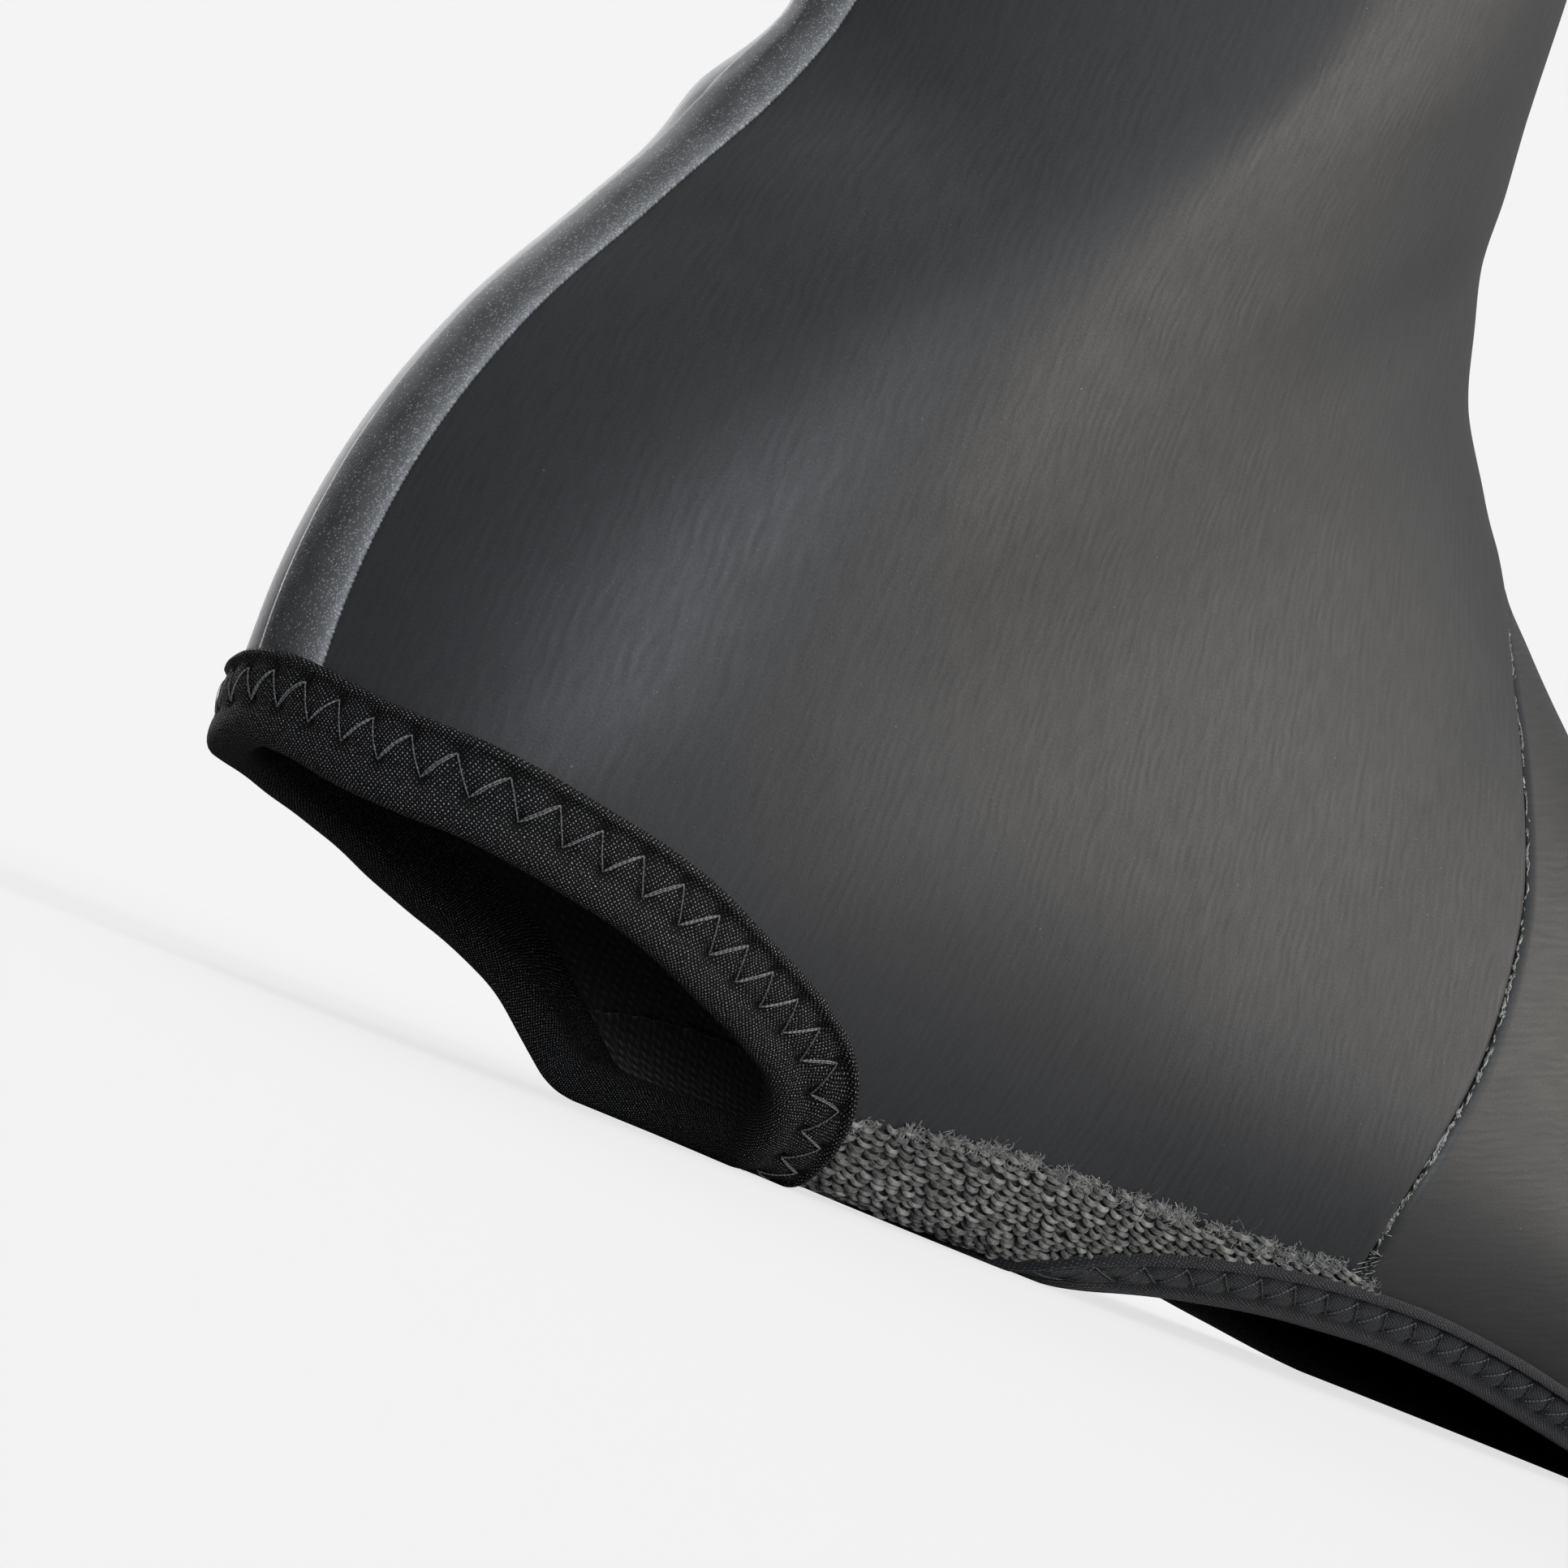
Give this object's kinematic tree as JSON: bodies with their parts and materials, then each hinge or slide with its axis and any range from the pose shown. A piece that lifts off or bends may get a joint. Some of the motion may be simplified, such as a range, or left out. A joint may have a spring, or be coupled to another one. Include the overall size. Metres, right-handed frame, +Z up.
{
  "type": "cycling overshoe",
  "caption": "Hollow fabric cycling overshoe for a right foot, open at the collar, heel and forefoot underside, with bound edges, a knitted arch panel and a reflective tape up the back.",
  "frame": {"origin": "middle of the flat spot under the arch, where the binding of the cleat opening rests on the floor", "axes": "+X towards the toe, +Y towards the inner side of the foot, +Z up towards the collar"},
  "size_m": [0.2732, 0.1014, 0.222],
  "materials": {
    "coated_fabric": "satin black coated stretch foam fabric",
    "knit": "coarse matt grey-green knit",
    "binding": "matt black elastic knitted binding",
    "tape": "grey glass-bead reflective tape"
  },
  "bodies": {
    "root": {"upper": "coated_fabric", "arch_panel": "knit", "heel_binding": "binding", "cleat_binding": "binding", "back_tape": "tape"}
  },
  "joints": []
}
